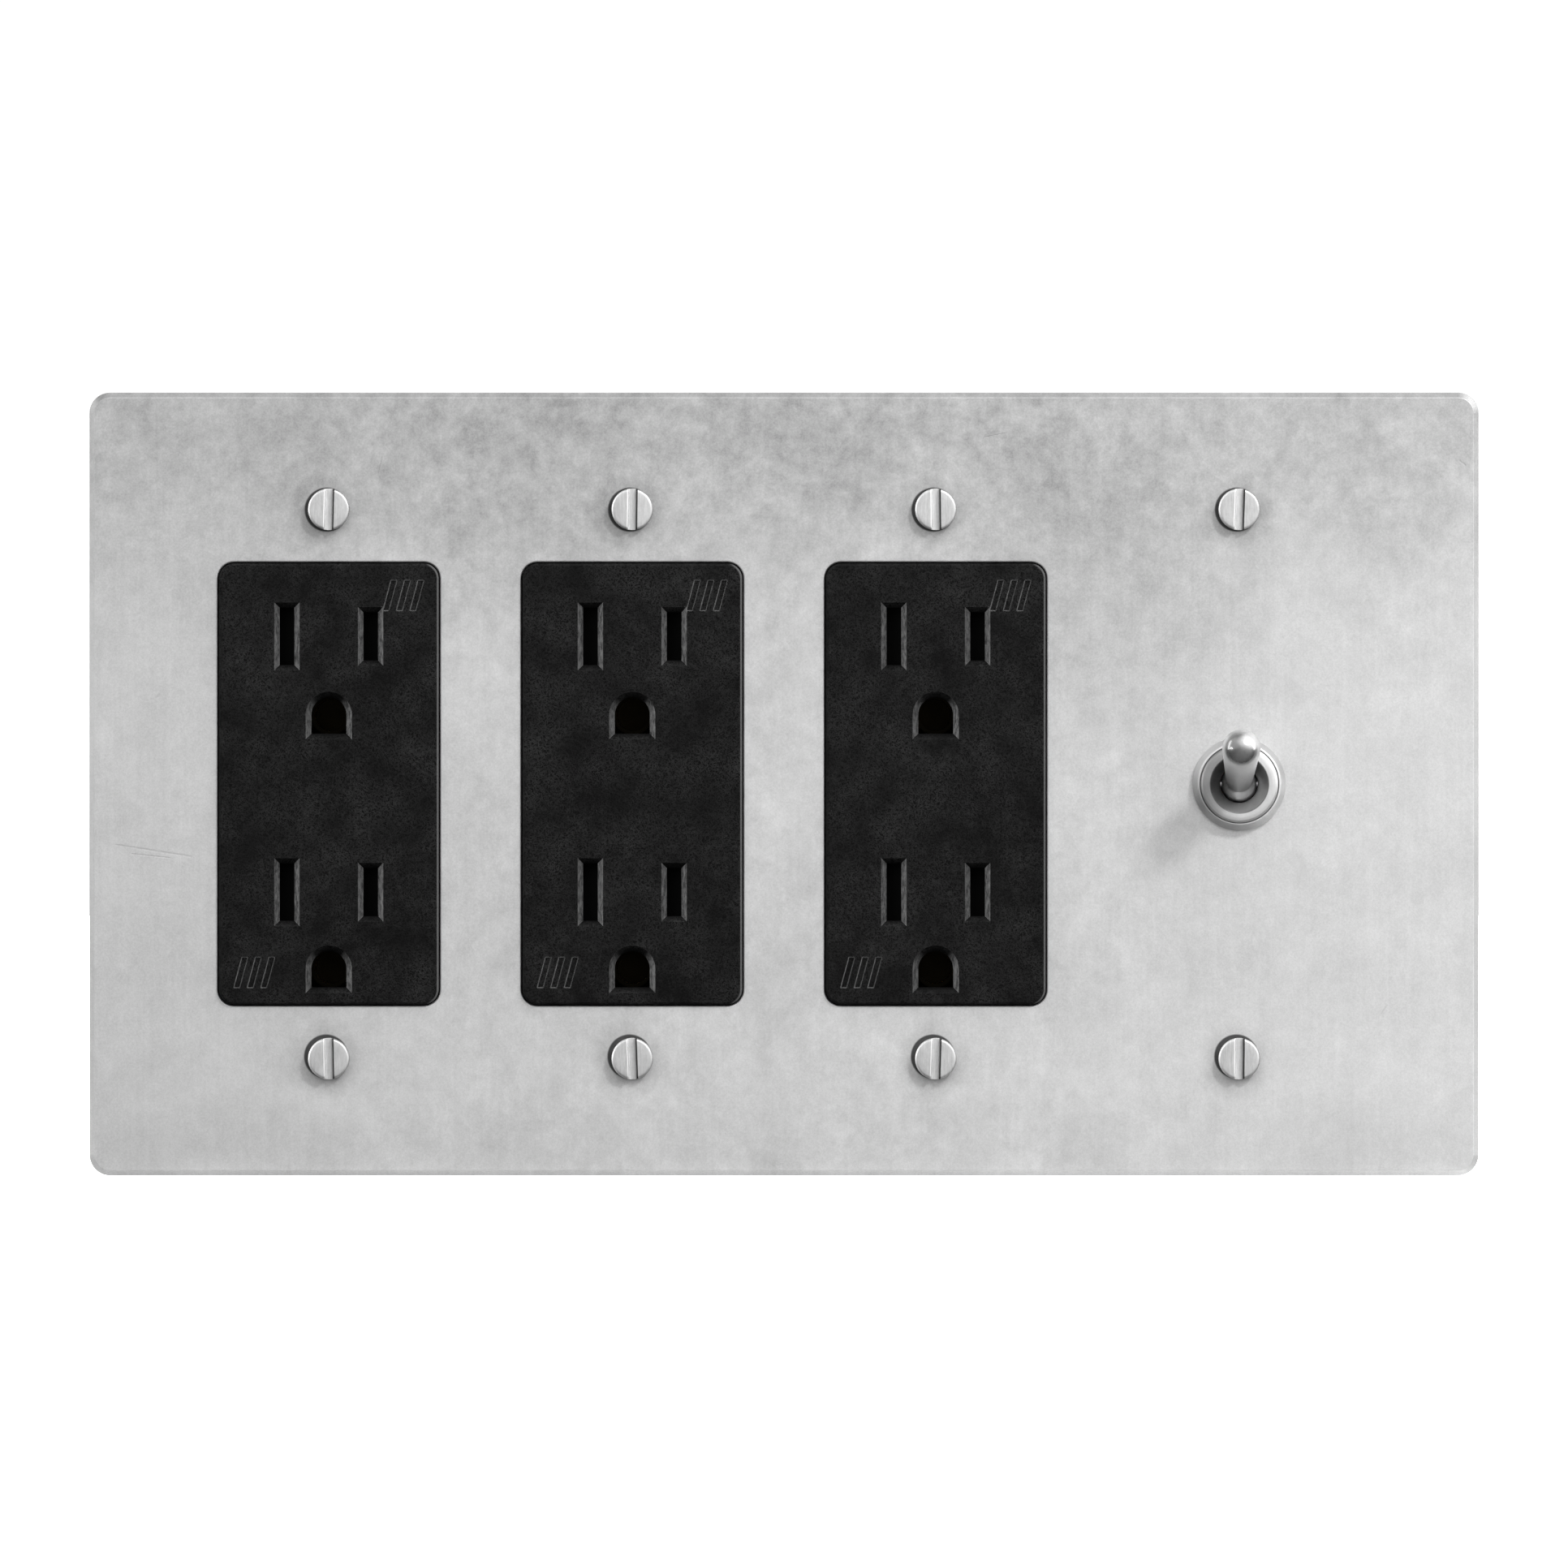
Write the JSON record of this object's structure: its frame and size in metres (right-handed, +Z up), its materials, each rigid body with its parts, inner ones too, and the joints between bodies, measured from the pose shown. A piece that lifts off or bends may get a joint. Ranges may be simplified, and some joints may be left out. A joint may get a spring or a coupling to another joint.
{
  "type": "wall plate cover",
  "caption": "Wide metal wall plate cover with grounded duplex receptacles in black and a bat-lever toggle switch, held by slotted screws.",
  "frame": {"origin": "centre of the cover's rear face, on the wall plane; also the centre of the screw pattern", "axes": "+X to the right as seen from the room, +Z up, +Y into the wall; the front looks along -Y"},
  "size_m": [0.2108, 0.0524, 0.1188],
  "materials": {
    "satin_nickel": "satin, finely brushed, slightly stained",
    "screw_nickel": "satin with darker edges",
    "fibre": "vulcanised fibre",
    "black_face": "matt, fine moulded texture",
    "dark_body": "matt moulded",
    "galvanised": "zinc plated strip",
    "brass_strip": "rolled brass",
    "brass_screw": "turned brass",
    "nickel_screw": "nickel plated",
    "green_screw": "green dyed zinc plate",
    "spring_steel": "bright wire",
    "shutter_plastic": "acetal",
    "polished_nickel": "polished",
    "case_phenolic": "phenolic moulding",
    "contact_copper": "copper alloy with a silver button"
  },
  "bodies": {
    "cover": {"wall_plate": "satin_nickel", "plate_screws": "screw_nickel", "screw_retaining_washers": "fibre", "receptacle_face_left": "black_face", "receptacle_body_left": "dark_body", "receptacle_strap_left": "galvanised", "hot_contact_left": "brass_strip", "neutral_contact_left": "brass_strip", "ground_contact_left": "brass_strip", "shutter_spring_left_upper": "spring_steel", "shutter_spring_left_lower": "spring_steel", "receptacle_face_centre": "black_face", "receptacle_body_centre": "dark_body", "receptacle_strap_centre": "galvanised", "hot_contact_centre": "brass_strip", "neutral_contact_centre": "brass_strip", "ground_contact_centre": "brass_strip", "shutter_spring_centre_upper": "spring_steel", "shutter_spring_centre_lower": "spring_steel", "receptacle_face_right": "black_face", "receptacle_body_right": "dark_body", "receptacle_strap_right": "galvanised", "hot_contact_right": "brass_strip", "neutral_contact_right": "brass_strip", "ground_contact_right": "brass_strip", "shutter_spring_right_upper": "spring_steel", "shutter_spring_right_lower": "spring_steel", "hot_terminal_screws": "brass_screw", "neutral_terminal_screws": "nickel_screw", "ground_terminal_screws": "green_screw", "wire_clamp_plates": "galvanised", "receptacle_assembly_screws": "galvanised", "toggle_strap": "galvanised", "toggle_bushing": "polished_nickel", "toggle_dress_ring": "polished_nickel", "toggle_lock_washer": "galvanised", "toggle_face_nut": "galvanised", "toggle_rear_nut": "galvanised", "switch_frame": "galvanised", "switch_case": "case_phenolic", "lever_pivot_pin": "spring_steel", "switch_terminal_upper": "brass_strip", "switch_terminal_centre": "brass_strip", "switch_terminal_lower": "brass_strip", "switch_terminal_screws": "brass_screw"},
    "lever": {"toggle_lever": "polished_nickel", "plunger_spring": "spring_steel"},
    "plunger": {"contact_plunger": "brass_screw"},
    "rocker": {"rocker_contact": "contact_copper"},
    "shutter_left_upper": {"shutter_left_upper": "shutter_plastic"},
    "shutter_left_lower": {"shutter_left_lower": "shutter_plastic"},
    "shutter_centre_upper": {"shutter_centre_upper": "shutter_plastic"},
    "shutter_centre_lower": {"shutter_centre_lower": "shutter_plastic"},
    "shutter_right_upper": {"shutter_right_upper": "shutter_plastic"},
    "shutter_right_lower": {"shutter_right_lower": "shutter_plastic"}
  },
  "joints": [
    {"name": "lever_hinge", "type": "hinge", "parent": "cover", "child": "lever", "pos_m": [0.06906, -0.0039, 0], "axis": [1, 0, 0], "range_deg": [0, 36]},
    {"name": "plunger_slide", "type": "slide", "parent": "lever", "child": "plunger", "axis": [0, -0.9511, 0.309], "range_m": [0, 0.0008], "stiffness_N_per_m": 600, "springref_m": -0.002, "deforming": ["plunger_spring"]},
    {"name": "rocker_hinge", "type": "hinge", "parent": "cover", "child": "rocker", "pos_m": [0.06906, 0.0082, 0], "axis": [1, 0, 0], "range_deg": [-16, 0]},
    {"name": "shutter_slide_left_upper", "type": "slide", "parent": "cover", "child": "shutter_left_upper", "axis": [1, 0, 0], "range_m": [0, 0.0029], "stiffness_N_per_m": 90, "springref_m": -0.003, "deforming": ["shutter_spring_left_upper"]},
    {"name": "shutter_slide_left_lower", "type": "slide", "parent": "cover", "child": "shutter_left_lower", "axis": [1, 0, 0], "range_m": [0, 0.0029], "stiffness_N_per_m": 90, "springref_m": -0.003, "deforming": ["shutter_spring_left_lower"]},
    {"name": "shutter_slide_centre_upper", "type": "slide", "parent": "cover", "child": "shutter_centre_upper", "axis": [1, 0, 0], "range_m": [0, 0.0029], "stiffness_N_per_m": 90, "springref_m": -0.003, "deforming": ["shutter_spring_centre_upper"]},
    {"name": "shutter_slide_centre_lower", "type": "slide", "parent": "cover", "child": "shutter_centre_lower", "axis": [1, 0, 0], "range_m": [0, 0.0029], "stiffness_N_per_m": 90, "springref_m": -0.003, "deforming": ["shutter_spring_centre_lower"]},
    {"name": "shutter_slide_right_upper", "type": "slide", "parent": "cover", "child": "shutter_right_upper", "axis": [1, 0, 0], "range_m": [0, 0.0029], "stiffness_N_per_m": 90, "springref_m": -0.003, "deforming": ["shutter_spring_right_upper"]},
    {"name": "shutter_slide_right_lower", "type": "slide", "parent": "cover", "child": "shutter_right_lower", "axis": [1, 0, 0], "range_m": [0, 0.0029], "stiffness_N_per_m": 90, "springref_m": -0.003, "deforming": ["shutter_spring_right_lower"]}
  ],
  "couplings": [
    {"joint": "rocker_hinge", "follows": "lever_hinge", "ratio": -0.44444}
  ]
}
